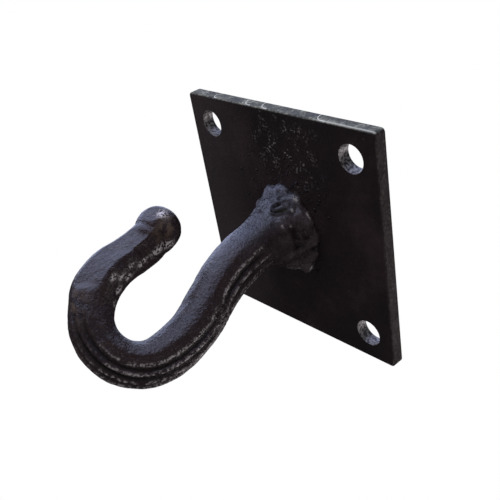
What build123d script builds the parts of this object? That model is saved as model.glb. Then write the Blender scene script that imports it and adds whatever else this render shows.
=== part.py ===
"""Ceiling hook: a ribbed swan-neck bar, butt-welded to a square plate with four screw holes.

The origin is the centre of the plate's upper face, which lies against the ceiling.
+Z is up, so the hook hangs below, and the plate's sides run along X and Y.
The bar bends in one upright plane, along the plate's diagonal, with its tip towards -X and -Y.
Lengths are in millimetres and angles in degrees.
"""

from build123d import *

import os
from math import ceil, cos, radians, sin, sqrt

# Plate
PLATE_SIDE = 75.0
PLATE_THICKNESS = 4.0
PLATE_CORNER_RADIUS = 1.2
PLATE_ARRIS = 0.4
SCREW_HOLE_DIAMETER = 8.5
SCREW_HOLE_SPACING = 57.0

# Centreline of the bar, from the plate downwards
TIP_BEARING = 225.0
SHOULDER_RADIUS = 56.0
SHOULDER_TURN = 26.0
SHANK_LENGTH = 7.0
HEEL_RADIUS = 38.8
BOWL_RADIUS = 12.3
BOWL_TURN = 119.5
LIMB_RADIUS = 19.5
LIMB_TURN = 56.3
TIP_LENGTH = 16.3
TIP_FLARE = 14.0

# Thickness of the bar
STEM_DIAMETER = 15.2
SHANK_DIAMETER = 13.4
BOWL_DIAMETER = 12.2
LIMB_DIAMETER = 12.9
NECK_DIAMETER = 11.2
BALL_DIAMETER = 13.2
NECK_BLEND = 1.5
STEM_PAST_WELD = 0.5
STEM_SHOULDER = 0.02
SECTION_STEP = 4.0

# Ribs along the outer side of the bar, parted by hollow flutes that run out towards the tip
RIB_COUNT = 7
RIB_PITCH = 26.0
FLUTE_DEPTH = 0.6
FLUTE_RUN_IN = 8.0
FLUTE_RUN_OUT = 14.0

# Weld bead round the foot of the stem, heaped in lumps that lean as they rise
WELD_FOOT_RADIUS = 14.0
WELD_HEIGHT = 9.5
WELD_EDGE = 0.3
WELD_COURSES = 6
LUMP_COUNT = 7
LUMP_STAND = 0.8
LUMP_LEAN = 35.0
LUMP_POINTS = 28


def seat_z():
    """Height of the plate's lower face, where the bar is welded on."""
    return -PLATE_THICKNESS


def mounting_plate():
    """Flat square plate with softened corners and arrises, and a plain hole near each corner."""
    outline = RectangleRounded(PLATE_SIDE, PLATE_SIDE, PLATE_CORNER_RADIUS)
    plate = extrude(outline, amount=-PLATE_THICKNESS)
    faces = plate.faces().filter_by(Axis.Z)
    plate = fillet(faces.edges(), PLATE_ARRIS)
    drill = Cylinder(
        SCREW_HOLE_DIAMETER / 2,
        PLATE_THICKNESS,
        align=(Align.CENTER, Align.CENTER, Align.MAX),
    )
    places = GridLocations(SCREW_HOLE_SPACING, SCREW_HOLE_SPACING, 2, 2)
    return plate - [place * drill for place in places]


def stem_length():
    """The plain round stem ends just past the weld."""
    return WELD_HEIGHT + STEM_PAST_WELD


def bar_runs():
    """Runs of the centreline: a length and the signed turn along it, positive towards the tip."""
    return [
        (stem_length(), 0.0),
        (SHOULDER_RADIUS * radians(SHOULDER_TURN), -SHOULDER_TURN),
        (SHANK_LENGTH, 0.0),
        (HEEL_RADIUS * radians(SHOULDER_TURN), SHOULDER_TURN),
        (BOWL_RADIUS * radians(BOWL_TURN), BOWL_TURN),
        (LIMB_RADIUS * radians(LIMB_TURN), LIMB_TURN),
        (TIP_LENGTH, -TIP_FLARE),
    ]


def bar_length():
    """Length of the centreline from the plate to the centre of the ball."""
    return sum(length for length, _ in bar_runs())


def bar_point(distance):
    """Offset towards the tip, drop below the plate and heading, at a distance along the bar."""
    offset, drop, heading = 0.0, 0.0, 0.0
    for length, turn in bar_runs():
        travel = min(distance, length)
        turned = turn * travel / length
        middle = radians(heading + turned / 2)
        half = radians(turned / 2)
        chord = travel * sin(half) / half if half else travel
        offset += chord * sin(middle)
        drop += chord * cos(middle)
        heading += turned
        distance -= travel
        if distance <= 0:
            break
    return offset, drop, heading


def bar_plane(distance):
    """Section plane of the bar: local x is square to the bend, local y faces the bowl's inside."""
    offset, drop, heading = bar_point(distance)
    across = Vector(cos(radians(TIP_BEARING)), sin(radians(TIP_BEARING)), 0)
    down = Vector(0, 0, -1)
    along = across * sin(radians(heading)) + down * cos(radians(heading))
    inside = across * cos(radians(heading)) - down * sin(radians(heading))
    middle = across * offset + Vector(0, 0, seat_z() - drop)
    return Plane(origin=middle, x_dir=inside.cross(along), z_dir=along)


def eased(share):
    """A smooth step from 0 to 1."""
    share = min(max(share, 0.0), 1.0)
    return share * share * (3 - 2 * share)


def bar_diameter(distance):
    """The bar thins from the stem to the bowl, swells on the free limb and necks at the ball."""
    ends = [0.0]
    for length, _ in bar_runs():
        ends.append(ends[-1] + length)
    stem, shoulder, shank, heel, bowl, limb, ball = ends[1:]
    stations = [
        (stem, STEM_DIAMETER - 2 * STEM_SHOULDER),
        ((shank + heel) / 2, SHANK_DIAMETER),
        ((heel + bowl) / 2 + BOWL_RADIUS / 2, BOWL_DIAMETER),
        ((bowl + limb) / 2, LIMB_DIAMETER),
        (ball - BALL_DIAMETER / 2, NECK_DIAMETER),
    ]
    diameter = stations[0][1]
    for (start, before), (end, after) in zip(stations, stations[1:]):
        if distance > start:
            diameter = before + (after - before) * eased((distance - start) / (end - start))
    return diameter


def flute_depth(distance):
    """The flutes deepen below the plain stem and fade out on the free limb."""
    fade_end = bar_length() - TIP_LENGTH
    deepen = eased((distance - stem_length()) / FLUTE_RUN_IN)
    fade = eased((fade_end - distance) / FLUTE_RUN_OUT)
    return FLUTE_DEPTH * deepen * fade


def bar_section(distance):
    """Closed section of the bar: hollow flutes between the ribs, and one plain arc inside."""
    crest = bar_diameter(distance) / 2
    bottom = crest - flute_depth(distance)
    plane = bar_plane(distance)

    def spot(radius, angle):
        return plane.from_local_coords((radius * cos(radians(angle)), radius * sin(radians(angle)), 0))

    fluted = RIB_PITCH * (RIB_COUNT - 1)
    first = -90 - fluted / 2
    ribs = [spot(crest, first + RIB_PITCH * rib) for rib in range(RIB_COUNT)]
    hollows = [spot(bottom, first + RIB_PITCH * (rib + 0.5)) for rib in range(RIB_COUNT - 1)]
    edges = [ThreePointArc(*points) for points in zip(ribs, hollows, ribs[1:])]
    edges.append(ThreePointArc(ribs[-1], spot(crest, 90), ribs[0]))
    return Face(Wire(edges))


def neck_reach():
    """Distance from the ball's centre back to where its blend meets the neck."""
    return sqrt((BALL_DIAMETER / 2 + NECK_BLEND) ** 2 - (NECK_DIAMETER / 2 + NECK_BLEND) ** 2)


def ball_tip():
    """Ball on a short blended neck, turned about the bar's centreline, with the neck facing down."""
    ball, neck, reach = BALL_DIAMETER / 2, NECK_DIAMETER / 2, neck_reach()
    blend = Vector(neck + NECK_BLEND, -reach)
    throat = Vector(neck, -reach)
    waist = blend * (ball / (ball + NECK_BLEND))
    hollow = blend + ((throat + waist) / 2 - blend).normalized() * NECK_BLEND
    profile = [
        Line(Vector(0, -reach), throat),
        ThreePointArc(throat, hollow, waist),
        ThreePointArc(waist, Vector(ball, 0), Vector(0, ball)),
        Line(Vector(0, ball), Vector(0, -reach)),
    ]
    return revolve(Plane.XZ * make_face(profile), Axis.Z)


def hook():
    """The bar in one forging, from its flat upper end on the plate to the ball at its tip."""
    start, end = stem_length(), bar_length() - neck_reach()
    count = ceil((end - start) / SECTION_STEP)
    stops = [start + (end - start) * step / count for step in range(count + 1)]
    bent = loft([bar_section(stop) for stop in stops])
    stem = Cylinder(STEM_DIAMETER / 2, start, align=(Align.CENTER, Align.CENTER, Align.MAX))
    return bent + bar_plane(bar_length()) * ball_tip() + Pos(0, 0, seat_z()) * stem


def weld_section(course):
    """Wavy closed outline of the bead at one height, from the foot on the plate to the crown."""
    rise = course / WELD_COURSES
    crown_radius = STEM_DIAMETER / 2 + WELD_EDGE
    radius = crown_radius + (WELD_FOOT_RADIUS - crown_radius) * (1 - rise) ** 2
    stand = LUMP_STAND * (1 - rise ** 3)
    points = []
    for number in range(LUMP_POINTS):
        turn = 360 * number / LUMP_POINTS
        lump = sin(radians(LUMP_COUNT * (turn + LUMP_LEAN * rise)))
        heap = sin(radians(2 * turn - 3 * LUMP_LEAN * rise))
        reach = radius + stand * (0.6 * lump + 0.4 * heap)
        points.append((reach * cos(radians(turn)), reach * sin(radians(turn)), -WELD_HEIGHT * rise))
    return Face(Wire([Edge.make_spline(points, periodic=True)]))


def weld_bead():
    """Weld metal heaped round the stem, hollow between the plate and the bar as a fillet is."""
    bead = loft([weld_section(course) for course in range(WELD_COURSES + 1)])
    stem_space = Cylinder(STEM_DIAMETER / 2, 3 * WELD_HEIGHT)
    return Pos(0, 0, seat_z()) * (bead - stem_space)


if __name__ == "__main__":
    os.makedirs("parts", exist_ok=True)
    for node in (mounting_plate, hook, weld_bead):
        export_step(node(), f"parts/{node.__name__}.step")
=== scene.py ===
# %% [markdown]
# A ceiling hook of forged iron, lacquered black. A ribbed swan-neck bar ends in a ball and is
# welded to the middle of a square plate with four screw holes.
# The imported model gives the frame: metres, +Z up, and the plate's upper face at z = 0.
# Each piece below is fitted to that frame, so nothing has to be moved into place later.

# %% Load the frame
import math
import random

import bmesh
import bpy
from mathutils import Matrix, Vector, noise


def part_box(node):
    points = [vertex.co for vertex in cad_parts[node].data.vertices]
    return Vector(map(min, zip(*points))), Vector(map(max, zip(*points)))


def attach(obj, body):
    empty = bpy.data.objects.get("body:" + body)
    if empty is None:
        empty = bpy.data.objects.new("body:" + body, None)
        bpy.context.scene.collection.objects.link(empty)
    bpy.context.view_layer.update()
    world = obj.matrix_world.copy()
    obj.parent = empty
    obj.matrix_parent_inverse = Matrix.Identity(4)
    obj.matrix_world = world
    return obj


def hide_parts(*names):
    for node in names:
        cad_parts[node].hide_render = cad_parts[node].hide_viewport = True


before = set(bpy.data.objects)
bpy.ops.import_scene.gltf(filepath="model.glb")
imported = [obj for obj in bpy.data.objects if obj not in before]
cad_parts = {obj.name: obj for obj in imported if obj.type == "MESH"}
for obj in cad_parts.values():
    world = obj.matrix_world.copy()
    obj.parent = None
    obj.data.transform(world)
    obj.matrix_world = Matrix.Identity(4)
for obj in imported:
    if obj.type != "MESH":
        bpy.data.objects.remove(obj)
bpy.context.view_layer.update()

MM = 0.001
plate_low, plate_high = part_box("mounting_plate")

# %% [markdown]
# The photograph looks up at the hook from its right-hand side, with the camera rolled so that
# the plate's -Y edge is at the top. A camera can be aimed with a Track To constraint, but a
# rolled one is simpler to place by its own three directions: the columns of its rotation are
# right, up and back.

# %% Camera
CAMERA_PLACE = Vector((0.151088, -0.110120, -0.134996))
CAMERA_RIGHT = Vector((0.6688, 0.1610, 0.7258))
CAMERA_UP = Vector((-0.2807, -0.8494, 0.4470))
CAMERA_LENS, SENSOR_WIDTH = 53.61, 36
CLIP_NEAR, CLIP_FAR = 0.005, 20


def add_camera():
    """The camera of the photograph, squared up so that its axes stand at right angles."""
    right = CAMERA_RIGHT.normalized()
    back = right.cross(CAMERA_UP).normalized()
    up = back.cross(right)
    data = bpy.data.cameras.new("camera")
    data.lens = CAMERA_LENS
    data.sensor_width = SENSOR_WIDTH
    data.clip_start, data.clip_end = CLIP_NEAR, CLIP_FAR
    camera = bpy.data.objects.new("camera", data)
    bpy.context.scene.collection.objects.link(camera)
    turn = Matrix((right, up, back)).transposed().to_4x4()
    camera.matrix_world = Matrix.Translation(CAMERA_PLACE) @ turn
    bpy.context.scene.camera = camera
    return camera


camera = add_camera()
print("Camera at", [round(x, 3) for x in camera.location])

# %% [markdown]
# Materials and lights are all built from shader nodes. A few helpers keep that short: each adds
# one node, takes numbers or other nodes' sockets alike, and gives back the socket of its result.

# %% Helpers for shader nodes
def node_material(name):
    """An empty material, and the tree to build it in."""
    material = bpy.data.materials.new(name)
    material.use_nodes = True
    material.node_tree.nodes.clear()
    return material, material.node_tree


def feed(tree, socket, value):
    """Link a socket to another node's socket, or set it to a number or colour."""
    if isinstance(value, bpy.types.NodeSocket):
        tree.links.new(value, socket)
    else:
        socket.default_value = value


def reckon(tree, operation, first, second=0.0):
    """One sum on two values."""
    node = tree.nodes.new("ShaderNodeMath")
    node.operation = operation
    feed(tree, node.inputs[0], first)
    feed(tree, node.inputs[1], second)
    return node.outputs["Value"]


def times(tree, first, second):
    """Two values multiplied."""
    return reckon(tree, "MULTIPLY", first, second)


def plus(tree, first, second):
    """Two values added."""
    return reckon(tree, "ADD", first, second)


def minus(tree, first, second):
    """The second value taken from the first."""
    return reckon(tree, "SUBTRACT", first, second)


def larger(tree, first, second):
    """The larger of two values."""
    return reckon(tree, "MAXIMUM", first, second)


def unsigned(tree, value):
    """A value without its sign."""
    return reckon(tree, "ABSOLUTE", value)


def stretch(tree, value, low, high, to_low=0.0, to_high=1.0, smooth=False):
    """A value moved from one range to another, and held inside it."""
    node = tree.nodes.new("ShaderNodeMapRange")
    node.interpolation_type = "SMOOTHSTEP" if smooth else "LINEAR"
    ends = (("From Min", low), ("From Max", high), ("To Min", to_low), ("To Max", to_high))
    for name, number in ends:
        node.inputs[name].default_value = number
    feed(tree, node.inputs["Value"], value)
    return node.outputs["Result"]


def over(tree, share, below, above):
    """One colour laid over another, by a share from 0 to 1."""
    node = tree.nodes.new("ShaderNodeMix")
    node.data_type = "RGBA"
    feed(tree, node.inputs[0], share)
    for socket, colour in ((node.inputs[6], below), (node.inputs[7], above)):
        feed(tree, socket, (*colour, 1) if isinstance(colour, tuple) else colour)
    return node.outputs[2]


def measure(tree, operation, first, second):
    """A number from two vectors, such as the distance between them."""
    node = tree.nodes.new("ShaderNodeVectorMath")
    node.operation = operation
    feed(tree, node.inputs[0], first)
    feed(tree, node.inputs[1], second)
    return node.outputs["Value"]


def object_place(tree):
    """The place on the object, in metres, which moves with it."""
    return tree.nodes.new("ShaderNodeTexCoord").outputs["Object"]


def close_with(tree, shader_output):
    """The material's or world's output node."""
    world = isinstance(tree.id_data, bpy.types.World)
    output = tree.nodes.new("ShaderNodeOutputWorld" if world else "ShaderNodeOutputMaterial")
    tree.links.new(shader_output, output.inputs["Surface"])


print("Helpers for shader nodes are ready")

# %% [markdown]
# The studio is kept plain: a pale matt floor well below the hook, which catches its shadow, and
# a white surround. A world can look white to the camera and still light the object softly,
# because the Light Path node tells the two kinds of ray apart.

# %% Floor and surround
FLOOR_DROP = 0.30
FLOOR_SIZE = 6.0
FLOOR_GREY, FLOOR_ROUGHNESS = 0.86, 0.9
FILL_COLOUR, FILL_STRENGTH = (0.92, 0.95, 1.0), 0.45
WHITE, WHITE_STRENGTH = (1, 1, 1), 1.0


def link(bm, name):
    """A finished object from a bmesh, at the origin."""
    mesh = bpy.data.meshes.new(name)
    bm.to_mesh(mesh)
    bm.free()
    piece = bpy.data.objects.new(name, mesh)
    bpy.context.scene.collection.objects.link(piece)
    return piece


def add_floor():
    """A pale matt floor below the hook, seen only by views from the side and above."""
    bm = bmesh.new()
    bmesh.ops.create_grid(bm, x_segments=1, y_segments=1, size=FLOOR_SIZE / 2)
    bmesh.ops.translate(bm, verts=bm.verts, vec=(0, 0, -FLOOR_DROP))
    floor = link(bm, "floor")
    material, tree = node_material("pale_floor")
    paint = tree.nodes.new("ShaderNodeBsdfPrincipled")
    paint.inputs["Base Color"].default_value = (FLOOR_GREY, FLOOR_GREY, FLOOR_GREY, 1)
    paint.inputs["Roughness"].default_value = FLOOR_ROUGHNESS
    close_with(tree, paint.outputs["BSDF"])
    floor.data.materials.append(material)
    floor.visible_glossy = False
    return floor


def background(tree, colour, strength):
    """One even background."""
    node = tree.nodes.new("ShaderNodeBackground")
    node.inputs["Color"].default_value = (*colour, 1)
    node.inputs["Strength"].default_value = strength
    return node.outputs["Background"]


def set_world():
    """White to the camera and to reflections, and a dim even light for everything else."""
    world = bpy.data.worlds.new("studio")
    bpy.context.scene.world = world
    world.use_nodes = True
    tree = world.node_tree
    tree.nodes.clear()
    rays = tree.nodes.new("ShaderNodeLightPath").outputs
    seen = larger(tree, rays["Is Camera Ray"], rays["Is Glossy Ray"])
    seen = larger(tree, seen, rays["Is Transmission Ray"])
    either = tree.nodes.new("ShaderNodeMixShader")
    tree.links.new(seen, either.inputs["Fac"])
    tree.links.new(background(tree, FILL_COLOUR, FILL_STRENGTH), either.inputs[1])
    tree.links.new(background(tree, WHITE, WHITE_STRENGTH), either.inputs[2])
    close_with(tree, either.outputs["Shader"])


floor = add_floor()
set_world()
bpy.context.scene.view_settings.view_transform = "Standard"
print("Floor at z =", -FLOOR_DROP, "m")

# %% [markdown]
# Three square lamps give the light and the shadows: the strongest on the side of the plate's -Y
# edge, a weaker one from the right and one from behind. Large and soft, they leave no hard
# shadow. They don't show in reflections, since the tent below is what the lacquer mirrors.

# %% Lamps
HOOK_MIDDLE = Vector((0.0, 0.0, -0.04))
LAMP_SIZE = 0.40
LAMPS = (
    ("key_light", (-0.12, -0.50, -0.24), 1.8, (1.0, 0.98, 0.98)),
    ("side_light", (0.60, 0.10, -0.15), 0.8, (1.0, 0.96, 0.94)),
    ("back_light", (-0.40, 0.55, 0.10), 1.5, (0.98, 0.98, 1.0)),
)


def add_light(name, place, power, colour):
    """A square soft light that faces the middle of the hook, and isn't itself reflected."""
    data = bpy.data.lights.new(name, "AREA")
    data.shape = "SQUARE"
    data.size = LAMP_SIZE
    data.energy = power
    data.color = colour
    light = bpy.data.objects.new(name, data)
    bpy.context.scene.collection.objects.link(light)
    light.location = place
    light.visible_glossy = False
    light.rotation_mode = "QUATERNION"
    light.rotation_quaternion = (HOOK_MIDDLE - Vector(place)).to_track_quat("-Z", "Y")
    return light


lamps = [add_light(*lamp) for lamp in LAMPS]
print("Lamps:", [lamp.name for lamp in lamps])

# %% [markdown]
# Black lacquer shows almost nothing but its reflections, so these are planned like a picture. A
# tent round the hook carries them, and only glossy rays see it. On the dark cloth are a pale
# blue sky on the side of the plate's -Y edge, cut off towards the right and dimmed towards the
# back, a dim panel that shows along the rims, and a bright one opposite, for the gleams. Each
# is a round patch about a direction, which a dot product with the place on the tent gives.

# %% Tent for the reflections
TENT_RADIUS = 0.60
SKY = ((-0.57, -0.61, 0.55), 0.46, 0.53)
SKY_LEFT_OF = ((-1.0, 0.0, 0.0), -0.24, 0.0)
SKY_IN_FRONT_OF, SKY_LEAST = ((0.0, -1.0, 0.0), -0.45, 0.20), 0.3
RIM_PANEL = ((-0.81, -0.04, 0.58), 0.80, 0.92)
BACK_PANEL = ((0.50, 0.60, 0.62), 0.90, 0.96)
SKY_COLOUR = (1.34, 1.50, 2.22)
RIM_COLOUR = (0.15, 0.18, 0.20)
BACK_COLOUR = (2.6, 2.4, 2.45)
DARK_COLOUR = (0.040, 0.031, 0.033)


def panel(tree, place, patch_of_tent):
    """How far a place on the tent lies inside the round patch about a direction, from 0 to 1."""
    way, edge, full = patch_of_tent
    toward = measure(tree, "DOT_PRODUCT", place, way)
    return stretch(tree, toward, edge * TENT_RADIUS, full * TENT_RADIUS, smooth=True)


def tent_colours(tree):
    """The dark cloth with the rim panel, the sky and the back panel laid over it."""
    place = object_place(tree)
    sky = times(tree, panel(tree, place, SKY), panel(tree, place, SKY_LEFT_OF))
    front = panel(tree, place, SKY_IN_FRONT_OF)
    sky = times(tree, sky, stretch(tree, front, 0.0, 1.0, SKY_LEAST, 1.0))
    colour = over(tree, panel(tree, place, RIM_PANEL), DARK_COLOUR, RIM_COLOUR)
    colour = over(tree, sky, colour, SKY_COLOUR)
    return over(tree, panel(tree, place, BACK_PANEL), colour, BACK_COLOUR)


def add_tent():
    """A round tent that glossy rays alone can see."""
    bm = bmesh.new()
    bmesh.ops.create_icosphere(bm, subdivisions=4, radius=TENT_RADIUS)
    tent = link(bm, "tent")
    material, tree = node_material("tent_cloth")
    cloth = tree.nodes.new("ShaderNodeEmission")
    tree.links.new(tent_colours(tree), cloth.inputs["Color"])
    close_with(tree, cloth.outputs["Emission"])
    tent.data.materials.append(material)
    tent.visible_camera = False
    tent.visible_diffuse = False
    tent.visible_transmission = False
    tent.visible_shadow = False
    return tent


tent = add_tent()
print("Tent of", len(tent.data.polygons), "faces")

# %% [markdown]
# The bar was forged from one rod, so it is best described along its centreline: straight runs
# and arcs in one upright plane, the thickness at each distance, and the shape of its section.
# A curve with a bevel would give the path but not the ribs, so the section is worked out too.
# The same runs as in the CAD source keep the skin on the solid.

# %% Centreline of the bar
SEAT_Z = plate_low.z
TIP_BEARING = math.radians(225)
ACROSS = Vector((math.cos(TIP_BEARING), math.sin(TIP_BEARING), 0))
DOWN = Vector((0, 0, -1))


def arc(radius, turn):
    """A run that bends by a number of degrees, positive towards the tip, with its length in mm."""
    return radius * math.radians(abs(turn)), turn


RUNS = (
    (10.0, 0.0),       # stem, straight down from the plate
    arc(56.0, -26.0),  # shoulder
    (7.0, 0.0),        # shank, straight
    arc(38.8, 26.0),   # heel
    arc(12.3, 119.5),  # bowl
    arc(19.5, 56.3),   # free limb
    (16.3, -14.0),     # tip, flared a little outwards
)
RUN_ENDS = [sum(length for length, _ in RUNS[:count + 1]) for count in range(len(RUNS))]
BAR_LENGTH = RUN_ENDS[-1]


def bar_frame(distance):
    """Middle of the bar in metres, the way along it, and the way to the inside of the bend."""
    offset, drop, heading = 0.0, 0.0, 0.0
    for length, turn in RUNS:
        travel = min(distance, length)
        turned = turn * travel / length
        middle, half = math.radians(heading + turned / 2), math.radians(turned / 2)
        chord = travel * math.sin(half) / half if half else travel
        offset += chord * math.sin(middle)
        drop += chord * math.cos(middle)
        heading += turned
        distance -= travel
        if distance <= 0:
            break
    turn = math.radians(heading)
    along = ACROSS * math.sin(turn) + DOWN * math.cos(turn)
    inside = ACROSS * math.cos(turn) - DOWN * math.sin(turn)
    return ACROSS * offset * MM + DOWN * drop * MM + Vector((0, 0, SEAT_Z)), along, inside


def outward_way(along, inside, angle):
    """The way out of the bar at an angle round its section."""
    turn = math.radians(angle)
    return inside.cross(along) * math.cos(turn) + inside * math.sin(turn)


print("Centreline of", round(BAR_LENGTH, 1), "mm in", len(RUNS), "runs")

# %% [markdown]
# Thickness next: the bar thins from the stem to the bowl, swells on the free limb and necks
# just before the ball. Smooth steps between a few stations give an even taper.

# %% Thickness of the bar
STEM, SHOULDER, SHANK, HEEL, BOWL, LIMB, BALL = RUN_ENDS
BALL_RADIUS = 6.6
THINNEST_PAST_BOWL = 6.15
STATIONS = (
    (STEM, 7.58),
    ((SHANK + HEEL) / 2, 6.7),
    ((HEEL + BOWL) / 2 + THINNEST_PAST_BOWL, 6.1),
    ((BOWL + LIMB) / 2, 6.45),
    (BALL - BALL_RADIUS, 5.6),
)


def eased(share):
    """A smooth step from 0 to 1."""
    share = min(max(share, 0.0), 1.0)
    return share * share * (3 - 2 * share)


def bar_radius(distance):
    """Radius of the plain bar, in mm."""
    radius = STATIONS[0][1]
    for (start, before), (end, after) in zip(STATIONS, STATIONS[1:]):
        if distance > start:
            radius = before + (after - before) * eased((distance - start) / (end - start))
    return radius


print("Radius at the stem, bowl and neck:", [round(bar_radius(d), 2) for d in (STEM, BOWL, BALL)])

# %% [markdown]
# Dents, rust and heat tints lie in patches with soft edges, and rough metal is uneven at several
# sizes at once. A bell curve along the bar times one round it gives a patch anywhere, and noise
# of several sizes, added up, gives the rest. Painting them would fit only one mesh.
# A patch is a distance along the bar in mm, an angle round it, a length and a width in degrees.
# Angles go round the section from the camera's side, with -90 at the outer line of the bend.

# %% Soft patches and rough metal
def hump(value, middle, width):
    """A bell-shaped bump of height 1."""
    return math.exp(-(((value - middle) / width) ** 2))


def aside(angle, middle):
    """How far an angle lies from another, from -180 to 180 degrees."""
    return (angle - middle + 180) % 360 - 180


def patch(distance, angle, spot):
    """How far a place on the bar lies in a patch, from 0 to 1."""
    far_along, far_round, length, width = spot
    return hump(distance, far_along, length) * hump(aside(angle, far_round), 0, width)


def waves(spot, sizes):
    """Unevenness at a spot in mm, from pairs of a height in mm and a count of waves per mm."""
    return sum(height * noise.noise(spot * scale) for height, scale in sizes)


print("A patch one width from its middle:", round(patch(0, 9, (0, 0, 1, 9)), 2))

# %% [markdown]
# Seven ribs run along the outer side with hollow flutes between them. Grooves could be cut with
# a boolean, but these follow a bend and fade out, so they are part of the section: each angle
# has a depth. They are not drawn with a ruler: each wanders a little, and below the shoulder a
# hammer blow has broken them and pushed them apart.

# %% Ribs and flutes
OUTER_LINE = -90
RIB_PITCH = 26.0
RIB_HALF_SPAN = 3 * RIB_PITCH
WANDER, WANDER_SCALE, WANDER_ROW = 3.5, 0.09, (1.7, 0.3)
FLUTE_DEPTH = 1.2
FLUTES_START, FLUTES_RISE = 13.0, 10.0
FLUTES_END, FLUTES_FADE = 94.0, 17.0
BLOW_DISTANCE, BLOW_LENGTH, BLOW_FLATTENS = 42.0, 3.5, 0.85
DRAWN_IN, PUSHED_LENGTH, STILL_MIDDLE = 8.0, 6, 30
CREST_ROUNDING, ROUNDING_POWER, HOLLOW_POWER = 0.15, 6, 1.5
SIDE_HOLLOW, SIDE_WIDTH, SIDE_SHOULDER = 0.25, 24.0, 12
SIDE_CREST, GROOVE_WIDTH = 5, 0.6
CREST_FINENESS, BOWL_BROADENS = 3.0, 1.3
# Where on the bowl the crests broaden, so that their rubbed grey and painted highlight spread
# wider.
BOWL_RUBBED_AND_LIT, BOWL_RUBBED_AND_LIT_LENGTH = 62.0, 12


def wander(distance):
    """A slow sideways drift of the ribs, in degrees."""
    return WANDER * noise.noise(Vector((distance * WANDER_SCALE, *WANDER_ROW)))


def drawn_in(distance, outer):
    """How far the ribs are drawn in to the outer line, in degrees. The blow pushed them apart."""
    share = eased((distance - BLOW_DISTANCE + PUSHED_LENGTH / 2) / PUSHED_LENGTH)
    return math.copysign(DRAWN_IN * (share - 0.5), outer) * eased(abs(outer) / STILL_MIDDLE)


def flute_depth(distance):
    """The flutes start below the weld and fade on the free limb, in mm."""
    deepen = eased((distance - FLUTES_START) / FLUTES_RISE)
    fade = eased((FLUTES_END - distance) / FLUTES_FADE)
    broken = 1 - BLOW_FLATTENS * hump(distance, BLOW_DISTANCE, BLOW_LENGTH)
    return FLUTE_DEPTH * deepen * fade * broken


def flute(distance, angle):
    """Depth of the flute at an angle, and how near the place is to a crest and to a groove."""
    outer = aside(angle, OUTER_LINE)
    outer += wander(distance) + drawn_in(distance, outer)
    depth = flute_depth(distance)
    beyond = abs(outer) - RIB_HALF_SPAN
    if beyond > 0:
        dip = SIDE_HOLLOW * depth * math.sin(math.pi * min(1.0, beyond / SIDE_WIDTH))
        shoulder = CREST_ROUNDING * depth * (1 - eased(beyond / SIDE_SHOULDER))
        return dip + shoulder, max(0.0, 1 - beyond / SIDE_CREST), 0.0
    across = abs((outer / RIB_PITCH) % 1.0 * 2 - 1)
    rise = across ** HOLLOW_POWER * (1 - CREST_ROUNDING * across ** ROUNDING_POWER)
    narrow = CREST_FINENESS - BOWL_BROADENS * hump(distance, BOWL_RUBBED_AND_LIT, BOWL_RUBBED_AND_LIT_LENGTH)
    crest = max(0.0, (across - 1) * narrow + 1)
    return depth * (1 - rise), crest, 1 - eased(across / GROOVE_WIDTH)


flute_count = round(2 * RIB_HALF_SPAN / RIB_PITCH)
print("Flutes:", flute_count, "between", flute_count + 1, "ribs")

# %% [markdown]
# The smith drew out the free limb and rounded the ball with a hammer, which left flat facets:
# that is why the reflection of the sky ends there in a crisp line. A flat is a chord across the
# round, so its depth follows from the cosine of the angle to its middle. Sculpting would do it
# as well, but numbers can be moved later: a distance along the bar, a reach to either side, an
# angle and a half-width for the limb, and a direction and a half-width for the ball.

# %% Flats
LIMB_FLATS = (
    (104, 11, -31, 33),
    (99, 5, 52, 22),
    (108, 4, 42, 26),
    (114, 5, 38, 40),
    (92, 4, 30, 20),
)
BALL_FLATS = (
    ((0.18, -0.97, -0.15), 27),
    ((0.99, 0.08, 0.08), 18),
    ((0.72, -0.60, -0.35), 18),
    ((-0.85, -0.40, -0.35), 20),
    ((0.55, 0.75, 0.36), 24),
    ((-0.20, 0.70, -0.68), 22),
)
FLAT_EDGE = 2.5


def chord(radius, half, away):
    """Depth of a flat of a half-width in degrees, at an angle from its middle."""
    if abs(away) >= half:
        return 0.0
    return radius * (1 - math.cos(math.radians(half)) / math.cos(math.radians(away)))


def limb_flats(distance, angle, radius):
    """The deepest of the hammered flats on the free limb, in mm."""
    deepest = 0.0
    for far_along, reach, far_round, half in LIMB_FLATS:
        inside = eased((reach + FLAT_EDGE / 2 - abs(distance - far_along)) / FLAT_EDGE)
        deepest = max(deepest, inside * chord(radius, half, aside(angle, far_round)))
    return deepest


def ball_flats(outward):
    """The deepest of the hammered flats on the ball, in mm."""
    deepest = 0.0
    for way, half in BALL_FLATS:
        away = math.degrees(outward.angle(Vector(way)))
        deepest = max(deepest, chord(BALL_RADIUS, half, away))
    return deepest


print("Flats:", len(LIMB_FLATS), "on the limb and", len(BALL_FLATS), "on the ball")

# %% [markdown]
# Between the flats the iron is never quite smooth: it has broad waves, a fine grain, a rough
# scar at the blow, one worn flat on the outer line and a dented place inside the limb. Real
# relief is used for what changes the gleams, and a bump in the finish for all that is finer.

# %% Dents and grain
BROAD_WAVES = ((0.20, 0.16), (0.10, 0.37))
GRAIN = ((0.045, 1.1), (0.030, 2.2))
SCAR, SCAR_WAVES, SCAR_DEPTH = (BLOW_DISTANCE, -42, 4.5, 38), ((0.6, 0.7), (0.3, 1.4)), 0.3
OUTER_FLAT, OUTER_FLAT_DEPTH = (88, OUTER_LINE, 5, 38), 0.5
DENTED, DENTS = (106, 45, 10, 36), (0.5, 0.6)


def forging(distance, angle, place):
    """Unevenness of the hand-forged surface, in mm, outwards positive."""
    spot = place / MM
    scar = patch(distance, angle, SCAR) * (waves(spot, SCAR_WAVES) - SCAR_DEPTH)
    flat = -OUTER_FLAT_DEPTH * patch(distance, angle, OUTER_FLAT)
    dents = patch(distance, angle, DENTED) * waves(spot, (DENTS,))
    return waves(spot, BROAD_WAVES) + waves(spot, GRAIN) + scar + flat - dents


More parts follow.
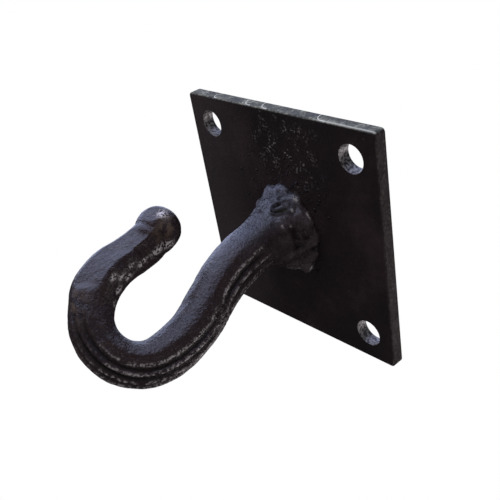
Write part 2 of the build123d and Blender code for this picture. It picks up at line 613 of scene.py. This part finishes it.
surface = bar_frame(LIMB)[0]
print("Relief on the limb in mm:", [round(forging(LIMB, turn, surface), 2) for turn in (-90, 0)])

# %% [markdown]
# The tip is a ball on a short hollow blend, as if turned in a lathe. Its profile has two arcs,
# the blend and the ball, with one share running along both, so that the grid of the bar can go
# on over the ball to its pole. A separate sphere would leave a seam at the neck.

# %% Profile of the tip
NECK_RADIUS, NECK_BLEND = 5.6, 1.5
NECK_FILL, FILL_BACK, FILL_WIDTH = 0.75, 6.5, 4.5
BLEND_SHARE = 0.12


def neck_reach():
    """Distance from the ball's centre back to where its blend meets the neck, in mm."""
    return math.sqrt((BALL_RADIUS + NECK_BLEND) ** 2 - (NECK_RADIUS + NECK_BLEND) ** 2)


def tip_profile(share):
    """Distance past the ball's centre and radius, from the neck's blend round to the pole."""
    reach = neck_reach()
    waist = math.atan2(NECK_RADIUS + NECK_BLEND, -reach)
    if share < BLEND_SHARE:
        turn = (waist - math.pi / 2) * share / BLEND_SHARE
        return NECK_BLEND * math.sin(turn) - reach, NECK_RADIUS + NECK_BLEND * (1 - math.cos(turn))
    turn = waist * (1 - share) / (1 - BLEND_SHARE)
    return BALL_RADIUS * math.cos(turn), BALL_RADIUS * math.sin(turn)


def neck_fill(from_middle, angle):
    """Metal that fills the inner side of the neck, in mm."""
    inner_side = max(0.0, math.sin(math.radians(angle)))
    return NECK_FILL * hump(from_middle, 0, FILL_WIDTH) * inner_side


print("Neck's blend starts", round(neck_reach(), 2), "mm before the middle of the ball")

# %% [markdown]
# Where the finish changes is marked on the vertices: rubbed crests that also carry a painted
# highlight, grooves painted dark as shade, rust, small glints painted on spots rubbed bare under
# the limb and on the ball, and a painted blue sheen of the sky on the stem's side towards the
# light. Marks move with the metal and need no picture, and the finish reads them by name.

# %% Marks of wear on the hook
HOOK_MARKS = ("crest", "groove", "rust", "glint", "painted_sky_sheen")
# Where the crests' rubbed grey and painted highlight fade out on the free limb.
CRESTS_RUBBED_AND_LIT_TO, CRESTS_FADE = 84, 16
RUST_SPOTS = ((89, -50, 3.5, 24), (120, 20, 4.0, 26), (70, 150, 5.0, 30))
# Glints painted on spots rubbed bare, under the limb and on the ball.
GLINTS = (
    (122.6, -13, 1.4, 12),
    (115, 56, 1.9, 8),
    (109, 54, 1.5, 6),
    (105.5, 38, 1.3, 5),
    (98, 22, 1.1, 5),
    (100.5, 40, 1.3, 6),
    (103, 59, 1.6, 6),
    (118, 63, 1.3, 8),
    (96.5, 61, 1.5, 6),
    (91, 62, 1.1, 5),
)
# A painted blue sheen of the sky on the stem's side towards the light.
SKY_SHEEN_PATCHES = ((14, 50, 9, 38),)


def wear(distance, angle):
    """How rusty a place is, and how much painted glint and sky sheen it has, each from 0 to 1."""
    return [min(1.0, sum(patch(distance, angle, spot) for spot in spots))
            for spots in (RUST_SPOTS, GLINTS, SKY_SHEEN_PATCHES)]


print("Marks:", HOOK_MARKS, "with", len(GLINTS), "glints")

# %% [markdown]
# To skin a piece, a flat grid is rolled up: one direction of the grid runs along it and the
# other round it. The grid's own UV map stays with it. Welding the doubles closes the seam and
# the pole, and a last face closes the open end, so the skin is watertight.

# %% Rolling a grid
SAME_PLACE = 1e-6


def rolled_grid(rows, steps, wrap, marks, name):
    """A flat grid rolled by wrap(row share, round share), with its seam and poles welded."""
    bm = bmesh.new()
    bmesh.ops.create_grid(bm, x_segments=rows, y_segments=steps, size=0.5, calc_uvs=True)
    layers = [bm.verts.layers.float.new(mark) for mark in marks]
    uv_map = bm.loops.layers.uv.active or bm.loops.layers.uv.new("UVMap")
    for face in bm.faces:
        for corner in face.loops:
            corner[uv_map].uv = (corner.vert.co.x + 0.5, corner.vert.co.y + 0.5)
    for vert in bm.verts:
        vert.co, values = wrap(vert.co.x + 0.5, vert.co.y + 0.5)
        for layer, value in zip(layers, values):
            vert[layer] = value
    bmesh.ops.remove_doubles(bm, verts=bm.verts, dist=SAME_PLACE)
    open_edges = [edge for edge in bm.edges if edge.is_boundary]
    if open_edges:
        bmesh.ops.holes_fill(bm, edges=open_edges, sides=0)
    bmesh.ops.recalc_face_normals(bm, faces=bm.faces)
    piece = link(bm, name)
    piece.data.shade_smooth()
    print(name, "has", len(piece.data.polygons), "faces")
    return piece


print("Points nearer than", SAME_PLACE / MM, "mm become one")

# %% [markdown]
# Now the hook itself, one forging from the plate to the ball. Most rows of the grid go to the
# bar and the rest to the tip. Each point starts on the plain round, goes in for the flute and
# the flats, and then out or in for the unevenness. A plain sweep would be quicker, but every
# section of it would be alike.

# %% Skin of the hook
ROWS_ALONG, STEPS_ROUND = 400, 190
BAR_SHARE = 0.86
FLATS_BLEND = 2.5
FILL_ENDS_AT = 5


def bar_skin(distance, angle):
    """A point on the bar between the plate and the neck, with its marks."""
    middle, along, inside = bar_frame(distance)
    outward = outward_way(along, inside, angle)
    depth, crest, groove = flute(distance, angle)
    plain = bar_radius(distance)
    fill = neck_fill(distance - (BALL - FILL_BACK), angle)
    radius = plain - depth - limb_flats(distance, angle, plain) + fill
    place = middle + outward * radius * MM
    place += outward * forging(distance, angle, place) * MM
    fluted = flute_depth(distance) / FLUTE_DEPTH
    # The crest mark carries the rubbing and a painted highlight.
    crest *= fluted * eased((CRESTS_RUBBED_AND_LIT_TO - distance) / CRESTS_FADE)
    return place, (crest, groove * fluted, *wear(distance, angle))


def tip_skin(share, angle):
    """A point on the neck's blend or on the ball, with its marks."""
    ahead, radius = tip_profile(share)
    distance = BAR_LENGTH + ahead
    middle, along, inside = bar_frame(BAR_LENGTH)
    outward = outward_way(along, inside, angle)
    place = middle + (along * ahead + outward * radius) * MM
    normal = (place - middle).normalized()
    fill = neck_fill(ahead + FILL_BACK, angle) * min(1.0, radius / FILL_ENDS_AT)
    on_ball = eased((ahead + neck_reach()) / FLATS_BLEND)
    relief = forging(distance, angle, place) + fill - on_ball * ball_flats(normal)
    relief -= (1 - on_ball) * limb_flats(distance, angle, radius)
    return place + normal * relief * MM, (0.0, 0.0, *wear(distance, angle))


def hook_skin_point(along_share, round_share):
    """A point of the hook's skin with its marks."""
    angle = 360 * round_share + OUTER_LINE
    if along_share <= BAR_SHARE:
        return bar_skin((BAR_LENGTH - neck_reach()) * along_share / BAR_SHARE, angle)
    return tip_skin((along_share - BAR_SHARE) / (1 - BAR_SHARE), angle)


hook_skin = rolled_grid(ROWS_ALONG, STEPS_ROUND, hook_skin_point, HOOK_MARKS, "forged_hook")
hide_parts("hook")
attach(hook_skin, "root")

# %% [markdown]
# The weld was laid in short runs. It is a hollow cone of metal from the plate up the bar, heaped
# in lumps. Metaballs would melt the lumps together too, but they carry no marks, so the lumps
# are bell curves on the cone. Each is a bearing, a drop below the plate, how far it stands out,
# a width in degrees and a height. Lengths are in mm.

# %% Shape of the weld
WELD_HEIGHT = 18.0
FOOT_RADIUS, CONE_HOLLOW = 11.9, 2.0
FOOT_SPREADS = ((-92, 1.6, 34), (62, 2.0, 30), (170, 0.8, 60))
CROWN_SINK = 0.15
CROWN_WAVE, CROWN_WAVE_SCALE = 0.30, 1.7
WELD_LUMPS = (
    (-118, 0.8, 1.2, 11, 1.8), (-88, 0.6, 0.9, 12, 1.4), (-62, 0.8, 1.1, 11, 1.6),
    (-92, 5.6, 0.9, 15, 1.7), (-46, 6.4, 1.5, 13, 2.4), (-42, 2.4, 1.2, 9, 1.8),
    (-26, 1.6, 1.5, 11, 1.9), (4, 0.8, 1.3, 12, 1.8), (18, 3.8, 0.8, 13, 2.0),
    (34, 0.8, 1.5, 9, 1.6), (58, 1.2, 2.2, 9, 1.8), (84, 0.8, 1.9, 9, 1.6),
    (112, 1.2, 1.1, 13, 1.9), (46, 5.0, 1.1, 8, 1.6), (72, 4.4, 1.0, 8, 1.5),
    (20, 7.0, 0.8, 9, 1.5), (88, 7.2, 0.9, 9, 1.5), (142, 0.8, 1.2, 13, 1.8),
    (172, 1.2, 1.0, 14, 2.0), (204, 0.8, 0.8, 13, 1.8), (70, 5.0, 0.7, 15, 2.2),
    (135, 5.4, 0.7, 16, 2.2), (195, 5.2, 0.6, 16, 2.2), (-8, 6.4, 0.6, 13, 2.0),
    (30, 8.0, 0.4, 15, 2.0),
)


def cone_radius(bearing, rise):
    """Radius of the weld's cone in mm, from its spreading foot to a crown that sinks in."""
    crown = bar_radius(0) - CROWN_SINK
    foot = FOOT_RADIUS + sum(more * hump(aside(bearing, toward), 0, width)
                             for toward, more, width in FOOT_SPREADS)
    return crown + (foot - crown) * (1 - rise) ** CONE_HOLLOW


def heaped(bearing, height):
    """How far the lumps stand out from the cone, in mm."""
    return sum(stand * hump(aside(bearing, toward), 0, width) * hump(height, level, tall)
               for toward, level, stand, width, tall in WELD_LUMPS)


print("Weld:", len(WELD_LUMPS), "lumps, foot", round(cone_radius(0, 0), 1), "mm in radius")

# %% [markdown]
# On the side towards the light two runs of the weld didn't meet and left a crater: an oval pit
# with a raised lip, a gap along one side, a hollow along the other and a lump between them. It
# is worked out in shares of its own length and width, so it can be turned and sized as one.

# %% Crater in the weld
CRATER_BEARING, CRATER_LEVEL, CRATER_REACH = -68.0, 4.9, 10.0
CRATER_LENGTH, CRATER_WIDTH, CRATER_TILT = 2.6, 1.6, math.radians(56.5)
CRATER_DEPTH, CRATER_GAP, CRATER_LIP, CRATER_LUMP = 1.5, 0.7, 0.4, 0.5
WALL_START, WALL_WIDTH = 0.85, 0.3
LIP_RING, LIP_LEAN = (1.3, 0.2), 0.6
GAP_ACROSS, GAP_SLANT, GAP_END, GAP_FADE = (-0.88, 0.20), 0.25, 0.2, 0.5
HOLLOW_ACROSS, HOLLOW_ALONG = (0.60, 0.28), (-0.20, 0.55)
LUMP_ACROSS, LUMP_ALONG = (-0.15, 0.34), (0.10, 0.55)


def crater(bearing, height):
    """Lift of the crater's shape in mm, and how far a place lies in its hollow and on its lump."""
    round_stem = math.radians(aside(bearing, CRATER_BEARING)) * CRATER_REACH
    down_stem = height - CRATER_LEVEL
    lean, rise = math.cos(CRATER_TILT), math.sin(CRATER_TILT)
    along = (round_stem * lean - down_stem * rise) / CRATER_LENGTH
    across = (round_stem * rise + down_stem * lean) / CRATER_WIDTH
    ring = math.hypot(along, across)
    within = 1 - eased((ring - WALL_START) / WALL_WIDTH)
    lip = CRATER_LIP * hump(ring, *LIP_RING) * (1 + LIP_LEAN * across)
    gap = CRATER_GAP * hump(across + GAP_SLANT * along, *GAP_ACROSS)
    gap *= 1 - eased((along - GAP_END) / GAP_FADE)
    hollow = hump(across, *HOLLOW_ACROSS) * hump(along, *HOLLOW_ALONG)
    inner = hump(across, *LUMP_ACROSS) * hump(along, *LUMP_ALONG)
    relief = lip + (CRATER_LUMP * inner - gap - CRATER_DEPTH * hollow) * within
    return relief, hollow * within, inner * within


print("Crater's middle lies at", round(crater(CRATER_BEARING, CRATER_LEVEL)[0], 2), "mm")

# %% [markdown]
# The skin of the weld is rolled from a grid too, from its foot on the plate to a crown that
# follows the bar and dies into it. It is rough at the foot and calm near the crown. Its marks
# are the gleams, painted on spots partly bare, the olive hollow of the crater, the raised
# metal, against which the folds are painted near black as shade, and a painted blue sheen of
# the sky on the raised metal of the side towards the light.

# %% Skin of the weld
WELD_ROWS, WELD_STEPS = 90, 300
WELD_MARKS = ("gleam", "olive", "raised", "painted_sky_sheen")
WELD_WAVES = ((0.42, 0.45), (0.25, 0.95), (0.15, 1.8), (0.05, 3.6))
CALM_FROM, CALM_OVER, CALM_SHARE = 0.35, 0.30, 0.85
CROWN_FADE, SLOPE_DROP = 4, 0.5
RAISED_ABOVE, RAISED_GAIN, RAISED_BY_ROUGH, RAISED_BY_CALM = 0.45, 0.65, 1.6, 0.3
# Where the painted blue sheen of the sky lies on the weld: the side towards the light.
SKY_SHEEN_BEARING, SKY_SHEEN_WIDTH = -95.0, 33.0
# Gleams painted on spots partly bare: a bearing, a drop below the plate, a width and a height.
GLEAMS = (
    (-61, 0.8, 3.5, 0.45), (-53, 3.4, 2.0, 0.30), (-33, 6.0, 1.6, 0.25), (-40, 8.2, 2.2, 0.25),
    (54, 0.5, 2.5, 0.35), (80, 0.9, 2.5, 0.35), (-34, 0.6, 4.0, 0.20), (66, 3.0, 2.0, 0.30),
)


def weld_point(rise, round_share):
    """A point on the weld with its marks: rise goes from 0 at the foot to 1 at the crown."""
    bearing = 360 * round_share
    turn = math.radians(bearing)
    outward = Vector((math.cos(turn), math.sin(turn), 0))
    wave = CROWN_WAVE * noise.noise(outward * CROWN_WAVE_SCALE)
    height = WELD_HEIGHT * rise * (1 + wave * rise)
    place = bar_frame(height)[0] + outward * cone_radius(bearing, rise) * MM
    lift = heaped(bearing, height)
    pit, olive, inner = crater(bearing, height)
    calm = eased((rise - CALM_FROM) / CALM_OVER)
    rough = waves(place / MM, WELD_WAVES) * (1 - CALM_SHARE * calm)
    relief = (lift + pit + rough) * min(1.0, (1 - rise) * CROWN_FADE)
    slope = Vector((outward.x, outward.y, -SLOPE_DROP)).normalized() if rise > 0 else outward
    gleam = sum(hump(aside(bearing, toward), 0, width) * hump(height, level, tall)
                for toward, level, width, tall in GLEAMS)
    # How far the metal stands raised; the folds between are painted dark as shade in the finish.
    stands = RAISED_GAIN * (lift - RAISED_ABOVE + RAISED_BY_ROUGH * rough)
    raised = eased(0.5 + stands + RAISED_BY_CALM * calm + inner)
    # A painted blue sheen of the sky on the raised metal of the side towards the light.
    painted_sky_sheen = hump(aside(bearing, SKY_SHEEN_BEARING), 0, SKY_SHEEN_WIDTH) * raised
    return place + slope * relief * MM, (min(1.0, gleam), olive, raised, painted_sky_sheen)


weld_skin = rolled_grid(WELD_ROWS, WELD_STEPS, weld_point, WELD_MARKS, "weld_metal")
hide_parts("weld_bead")
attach(weld_skin, "root")

# %% [markdown]
# Welding throws drops of hot metal, which stick to the plate round the bead and are then
# lacquered over. Each is a small flattened ball half sunk in the plate, scattered at random
# from a fixed seed, most of them on the side where the crater is. A particle system would
# scatter them as well, but one mesh from a loop is easier to hand on.

# %% Spatter on the plate
SPATTER_SEED, SPATTER_COUNT = 7, 90
SPATTER_SIZES = (0.12, 0.42)
SPATTER_RING, SPATTER_CROWDING = (15.0, 26.0), 1.4
SPATTER_BEARING, SPATTER_SPREAD = -72, 34
DROP_FLATNESS = 0.6
LARGE_DROPS = (
    (-68, 17.3, 0.62),
    (-55, 17.6, 0.55),
    (-36, 15.5, 0.5),
    (52, 16.4, 0.6),
    (-80, 21.5, 0.4),
)


def drop(bm, bearing, reach, size):
    """One drop of spatter at a bearing and a reach from the middle of the plate, in mm."""
    turn = math.radians(bearing)
    made = bmesh.ops.create_icosphere(bm, subdivisions=2, radius=size * MM)
    bmesh.ops.scale(bm, verts=made["verts"], vec=(1, 1, DROP_FLATNESS))
    place = Vector((reach * math.cos(turn) * MM, reach * math.sin(turn) * MM, SEAT_Z))
    bmesh.ops.translate(bm, verts=made["verts"], vec=place)


def add_spatter():
    """All the drops in one piece."""
    dice = random.Random(SPATTER_SEED)
    near, far = SPATTER_RING
    bm = bmesh.new()
    for bearing, reach, size in LARGE_DROPS:
        drop(bm, bearing, reach, size)
    for _ in range(SPATTER_COUNT):
        bearing = dice.gauss(SPATTER_BEARING, SPATTER_SPREAD)
        reach = near + (far - near) * dice.random() ** SPATTER_CROWDING
        drop(bm, bearing, reach, dice.uniform(*SPATTER_SIZES))
    piece = link(bm, "weld_spatter")
    piece.data.shade_smooth()
    return piece


spatter = add_spatter()
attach(spatter, "root")
print("Spatter:", SPATTER_COUNT + len(LARGE_DROPS), "drops")

# %% [markdown]
# The finish is a thin black lacquer over iron, dipped or brushed on. Noise at several sizes
# breaks up its colour, its gloss and its surface. All the finishes are made alike, so the nodes
# that they share are helpers too.

# %% Helpers for the finishes
def noise_at(tree, place, scale, detail=4.0, rough=0.55):
    """Noise of a given scale, as a value around 0.5."""
    node = tree.nodes.new("ShaderNodeTexNoise")
    settings = (("Vector", place), ("Scale", scale), ("Detail", detail), ("Roughness", rough))
    for name, value in settings:
        feed(tree, node.inputs[name], value)
    return node.outputs["Fac"]


def three_noises(tree, place, broad, middling, fine):
    """Noise at a broad, a middling and a fine scale."""
    return (noise_at(tree, place, broad), noise_at(tree, place, middling),
            noise_at(tree, place, fine, detail=3.0))


def ramp(tree, value, stops):
    """A colour ramp through (position, colour) stops."""
    node = tree.nodes.new("ShaderNodeValToRGB")
    tree.links.new(value, node.inputs["Fac"])
    elements = node.color_ramp.elements
    while len(elements) < len(stops):
        elements.new(0.5)
    for element, (position, colour) in zip(elements, stops):
        element.position = position
        element.color = (*colour, 1)
    return node.outputs["Color"]


def mark(tree, name):
    """A mark that was left on the vertices."""
    node = tree.nodes.new("ShaderNodeAttribute")
    node.attribute_name = name
    return node.outputs["Fac"]


def finish_with(tree, colour, rough, height, bump_distance, metal=0.0, specular=0.5):
    """The shader that all the finishes share."""
    bump = tree.nodes.new("ShaderNodeBump")
    for name, value in (("Strength", 1.0), ("Distance", bump_distance), ("Height", height)):
        feed(tree, bump.inputs[name], value)
    shader = tree.nodes.new("ShaderNodeBsdfPrincipled")
    shader.inputs["Specular IOR Level"].default_value = specular
    for name, value in (("Base Color", colour), ("Roughness", rough), ("Metallic", metal)):
        feed(tree, shader.inputs[name], value)
    tree.links.new(bump.outputs["Normal"], shader.inputs["Normal"])
    close_with(tree, shader.outputs["BSDF"])


print("Helpers for the finishes are ready")

# %% [markdown]
# On the bar the lacquer is brown where it is thin, and the grooves are painted dark as shade.
# Along the crests it is rubbed through to grey iron, painted lighter to stand for their
# highlight as well, and a painted blue sheen of the sky lies on the stem's lit side. It gleams
# in a broken way, because its bump is coarser than its grain. The colours are laid over one
# another from the lacquer up to the glints, painted on spots rubbed bare.

# %% Lacquer on the forged bar
BLACK_STOPS = ((0.30, (0.024, 0.014, 0.0155)), (0.70, (0.017, 0.012, 0.014)))
THIN_BROWN, GREY_GRAIN = (0.036, 0.023, 0.020), (0.10, 0.088, 0.095)
# The groove colour is painted shade in the hollows of the flutes; the rust brown is the iron's
# own.
GROOVE_SHADE, RUST_BROWN = (0.007, 0.005, 0.005), (0.075, 0.050, 0.036)
# A painted blue sheen of the sky, for the lit side of the stem and weld.
SKY_SHEEN_COLOUR = (0.070, 0.076, 0.115)
# The crests are rubbed grey with a painted highlight; the glints are painted on spots rubbed bare.
RUBBED_IRON_AND_HIGHLIGHT, GLINT_ON_BARE_IRON = (0.42, 0.38, 0.38), (0.62, 0.56, 0.57)
HOOK_BUMP = 0.00025


def hook_lacquer():
    """Black lacquer, brown where thin, a little rust, ribs rubbed grey with a painted highlight.
    """
    material, tree = node_material("hook_lacquer")
    broad, middling, fine = three_noises(tree, object_place(tree), 90.0, 420.0, 1500.0)
    thin = stretch(tree, middling, 0.54, 0.70, 0.0, 0.55)
    colour = over(tree, thin, ramp(tree, broad, BLACK_STOPS), THIN_BROWN)
    colour = over(tree, stretch(tree, fine, 0.58, 0.68, 0.0, 0.35), colour, GREY_GRAIN)
    # Painted blue sheen of the sky on the lit side.
    colour = over(tree, mark(tree, "painted_sky_sheen"), colour, SKY_SHEEN_COLOUR)
    # Painted shade in the grooves.
    colour = over(tree, mark(tree, "groove"), colour, GROOVE_SHADE)
    rusty = times(tree, mark(tree, "rust"), stretch(tree, middling, 0.42, 0.56))
    colour = over(tree, rusty, colour, RUST_BROWN)
    # Crests rubbed to grey iron, also painted as their highlight.
    worn = times(tree, mark(tree, "crest"), stretch(tree, middling, 0.41, 0.50))
    worn = times(tree, worn, stretch(tree, fine, 0.45, 0.56))
    # Glints painted on spots rubbed bare.
    glint = times(tree, mark(tree, "glint"), stretch(tree, fine, 0.47, 0.54))
    worn = larger(tree, worn, glint)
    colour = over(tree, worn, colour, RUBBED_IRON_AND_HIGHLIGHT)
    colour = over(tree, glint, colour, GLINT_ON_BARE_IRON)
    rough = stretch(tree, fine, 0.36, 0.64, 0.40, 0.17)
    rough = plus(tree, rough, times(tree, mark(tree, "groove"), 0.30))
    rough = plus(tree, rough, times(tree, rusty, 0.25))
    height = plus(tree, times(tree, middling, 1.1), fine)
    finish_with(tree, colour, rough, height, HOOK_BUMP, metal=times(tree, worn, 0.4))
    return material


hook_skin.data.materials.append(hook_lacquer())
print("Finished:", hook_skin.name)

# %% [markdown]
# The same lacquer covers the weld and its spatter. Its folds are painted nearly black as
# shade, and it lies a greyer black on the raised metal, with a painted blue sheen of the sky on
# the side towards the light. The crater's hollow has an olive tint of flux, and a few bright
# lines are gleams painted on spots partly bare.

# %% Lacquer on the weld
RAISED_STOPS = ((0.32, (0.024, 0.0165, 0.019)), (0.68, (0.044, 0.034, 0.038)))
# The folds are painted near black as shade; the olive is the flux's own tint.
FOLD_SHADE, FLUX_OLIVE = (0.0065, 0.0045, 0.0050), (0.045, 0.047, 0.020)
# The bright gleam colour is painted on spots partly bare.
WELD_SPECK, WELD_BARE_GLEAM = (0.14, 0.13, 0.15), (0.62, 0.60, 0.60)
WELD_BUMP = 0.00028


def weld_lacquer():
    """The same lacquer on rough weld metal, with painted gleams and an olive tint in the crater.
    """
    material, tree = node_material("weld_lacquer")
    broad, middling, fine = three_noises(tree, object_place(tree), 220.0, 800.0, 1900.0)
    # Folds painted near black as shade, the raised metal a greyer black.
    colour = over(tree, mark(tree, "raised"), FOLD_SHADE, ramp(tree, broad, RAISED_STOPS))
    # Painted blue sheen of the sky on the side towards the light.
    colour = over(tree, mark(tree, "painted_sky_sheen"), colour, SKY_SHEEN_COLOUR)
    colour = over(tree, mark(tree, "olive"), colour, FLUX_OLIVE)
    colour = over(tree, stretch(tree, fine, 0.68, 0.74), colour, WELD_SPECK)
    # Gleams painted on spots partly bare.
    bare = times(tree, mark(tree, "gleam"), stretch(tree, fine, 0.40, 0.55))
    colour = over(tree, bare, colour, WELD_BARE_GLEAM)
    rough = stretch(tree, middling, 0.3, 0.7, 0.22, 0.38)
    height = plus(tree, middling, times(tree, fine, 0.6))
    finish_with(tree, colour, rough, height, WELD_BUMP, metal=times(tree, bare, 0.6))
    return material


weld_finish = weld_lacquer()
weld_skin.data.materials.append(weld_finish)
spatter.data.materials.append(weld_finish)
print("Finished:", weld_skin.name, spatter.name)

# %% [markdown]
# The plate was sheared from sheet and drilled. Its wear is painted by place, with masks worked
# out from x, y and z, so the plate keeps its own mesh. The shear left arc-shaped nicks on the
# -Y edge, each shown by a painted highlight along its rim: a thin ring about a centre, kept
# only in the quarter that the edge shows.

# %% Masks on the plate
HOLE_SPACING, HOLE_RADIUS = 57.0 * MM, 4.25 * MM
NICKS = ((-26.1, 1.6), (-12.5, 2.8), (-5.6, 2.9), (16.1, 3.2))
NICK_WIDTH, NICK_CORE, NICK_RISE, NICK_CUT = 0.16 * MM, 0.4, 0.3, 0.3


def hole_walls(tree, parts, reach):
    """A mask of 1 wherever a place is within a reach of the axis of a screw hole."""
    half = HOLE_SPACING / 2
    x = minus(tree, unsigned(tree, parts["X"]), half)
    y = minus(tree, unsigned(tree, parts["Y"]), half)
    squared = plus(tree, times(tree, x, x), times(tree, y, y))
    return reckon(tree, "LESS_THAN", squared, reach ** 2)


def nick_lines(tree, place, parts):
    """A mask of 1 on the painted highlights along the arc-shaped nicks of the sheared edge."""
    lines = 0.0
    for across, size in NICKS:
        centre = ((across + size) * MM, plate_low.y, plate_low.z + (size + NICK_RISE) * MM)
        off_line = minus(tree, measure(tree, "DISTANCE", place, centre), size * MM)
        arc_line = stretch(tree, unsigned(tree, off_line), NICK_CORE * NICK_WIDTH, NICK_WIDTH,
                           1.0, 0.0)
        left = reckon(tree, "LESS_THAN", parts["X"], centre[0] + NICK_CUT * size * MM)
        below = reckon(tree, "LESS_THAN", parts["Z"], centre[2] + NICK_CUT * size * MM)
        lines = larger(tree, lines, times(tree, arc_line, times(tree, left, below)))
    return lines


print("Nicks on the sheared edge:", len(NICKS))

# %% [markdown]
# The plate's broad faces are a mottled brown-black, lighter towards -X, with a cluster of pale
# specks beside the weld. Its sides are worn to a brown grey. Noise frays the border between
# them, since a lacquer never ends in a straight line.

# %% Faces and sides of the plate
FACE_STOPS = (
    (0.36, (0.0105, 0.0086, 0.0092)),
    (0.50, (0.015, 0.0100, 0.0112)),
    (0.64, (0.027, 0.0160, 0.0178)),
)
FACE_MOTTLE, FACE_LIGHTER = (0.0115, 0.0078, 0.0087), (0.036, 0.028, 0.030)
LIGHTER_FROM, LIGHTER_TO = -0.008, -0.034
SPECK_PLACE, SPECK_REACH, SPECK_COLOUR = (0.004, -0.026, -0.004), 0.017, (0.17, 0.15, 0.15)
SIDE_STOPS = (
    (0.38, (0.015, 0.010, 0.011)),
    (0.56, (0.030, 0.021, 0.021)),
    (0.76, (0.075, 0.063, 0.060)),
)
FRAY_WIDTH, BORDER_IN, BORDER_OUT = 0.0010, 0.0005, 0.0001


def face_colour(tree, place, parts, noises):
    """Mottled lacquer on the faces, with the specks near the weld."""
    broad, middling, fine = noises
    mottle = stretch(tree, middling, 0.35, 0.65, 0.0, 0.5)
    colour = over(tree, mottle, ramp(tree, broad, FACE_STOPS), FACE_MOTTLE)
    lighter = stretch(tree, parts["X"], LIGHTER_FROM, LIGHTER_TO, 0.0, 0.7)
    colour = over(tree, lighter, colour, FACE_LIGHTER)
    near_weld = stretch(tree, measure(tree, "DISTANCE", place, SPECK_PLACE), SPECK_REACH, 0.0)
    clustered = times(tree, near_weld, stretch(tree, middling, 0.48, 0.60))
    specks = times(tree, stretch(tree, fine, 0.54, 0.62), clustered)
    specks = larger(tree, specks, stretch(tree, fine, 0.70, 0.78, 0.0, 0.35))
    return over(tree, specks, colour, SPECK_COLOUR)


def sheared_sides(tree, parts, fray):
    """A mask of 1 on the four sides of the plate, with a frayed border."""
    side = larger(tree, unsigned(tree, parts["X"]), unsigned(tree, parts["Y"]))
    border = plate_high.x - BORDER_IN, plate_high.x - BORDER_OUT
    return stretch(tree, plus(tree, side, fray), *border)


print("Faces of", len(FACE_STOPS), "tints and sides of", len(SIDE_STOPS))

# %% [markdown]
# Along the -Y edge the lacquer has gone altogether. The bare steel is grained, has a bright
# line along its arris towards +X, and shows the nicks, each with a painted highlight. That side
# could have a material of its own, but its border would be as straight as the face, where a
# mask can fray.

# %% Bare edge of the plate
STEEL_STOPS = (
    (0.40, (0.050, 0.050, 0.047)),
    (0.50, (0.125, 0.130, 0.118)),
    (0.62, (0.36, 0.37, 0.34)),
)
ARRIS_LEVEL, ARRIS_CORE, ARRIS_REACH = 0.45 * MM, 0.15 * MM, 0.45 * MM
ARRIS_COLOUR = (0.55, 0.56, 0.54)
ARRIS_FROM, ARRIS_TO = 0.016, 0.020
# A painted highlight along the rim of each nick.
NICK_HIGHLIGHT = (0.80, 0.80, 0.79)


def bare_steel(tree, place, parts, noises):
    """Grained steel with a bright arris at its +X end and painted highlights on the nicks."""
    _, middling, fine = noises
    grained = plus(tree, times(tree, middling, 0.6), times(tree, fine, 0.4))
    metal = ramp(tree, grained, STEEL_STOPS)
    arris = unsigned(tree, minus(tree, parts["Z"], plate_low.z + ARRIS_LEVEL))
    arris = stretch(tree, arris, ARRIS_CORE, ARRIS_REACH, 0.8, 0.0)
    arris = times(tree, arris, stretch(tree, parts["X"], ARRIS_FROM, ARRIS_TO))
    metal = over(tree, arris, metal, ARRIS_COLOUR)
    return over(tree, nick_lines(tree, place, parts), metal, NICK_HIGHLIGHT)


print("Bright arris from x =", ARRIS_FROM / MM, "mm")

# %% [markdown]
# All of the plate's finish comes together in one material: faces, sides, bare edge and the
# bright walls of the drilled holes. One material with masks keeps the plate in one piece, where
# four materials would need its faces to be cut along each border.

# %% Lacquer on the plate
WALL_STOPS = ((0.38, (0.030, 0.027, 0.027)), (0.60, (0.26, 0.25, 0.25)))
WALL_REACH = HOLE_RADIUS + 0.05 * MM
PLATE_BUMP, PLATE_SPECULAR = 0.00012, 0.28


def plate_lacquer():
    """Brown-black lacquer on the faces, worn on the sheared sides, bare along the -Y edge."""
    material, tree = node_material("plate_lacquer")
    place = object_place(tree)
    parts = tree.nodes.new("ShaderNodeSeparateXYZ")
    tree.links.new(place, parts.inputs["Vector"])
    parts = parts.outputs
    noises = three_noises(tree, place, 42.0, 260.0, 1300.0)
    _, middling, fine = noises
    fray = times(tree, minus(tree, middling, 0.5), FRAY_WIDTH)
    sheared = sheared_sides(tree, parts, fray)
    edge = plate_low.y + BORDER_IN, plate_low.y + BORDER_OUT
    bare = stretch(tree, plus(tree, parts["Y"], fray), *edge)
    walls = hole_walls(tree, parts, WALL_REACH)
    colour = face_colour(tree, place, parts, noises)
    colour = over(tree, sheared, colour, ramp(tree, fine, SIDE_STOPS))
    colour = over(tree, bare, colour, bare_steel(tree, place, parts, noises))
    colour = over(tree, walls, colour, ramp(tree, fine, WALL_STOPS))
    rough = stretch(tree, middling, 0.3, 0.7, 0.36, 0.54)
    rough = plus(tree, rough, times(tree, sheared, 0.35))
    height = plus(tree, middling, times(tree, fine, 0.4))
    metal = larger(tree, times(tree, bare, 0.15), times(tree, walls, 0.5))
    finish_with(tree, colour, rough, height, PLATE_BUMP, metal=metal, specular=PLATE_SPECULAR)
    return material


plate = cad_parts["mounting_plate"]
plate.data.materials.clear()
plate.data.materials.append(plate_lacquer())
print("Finishes:", [m.name for m in bpy.data.materials if m.users])
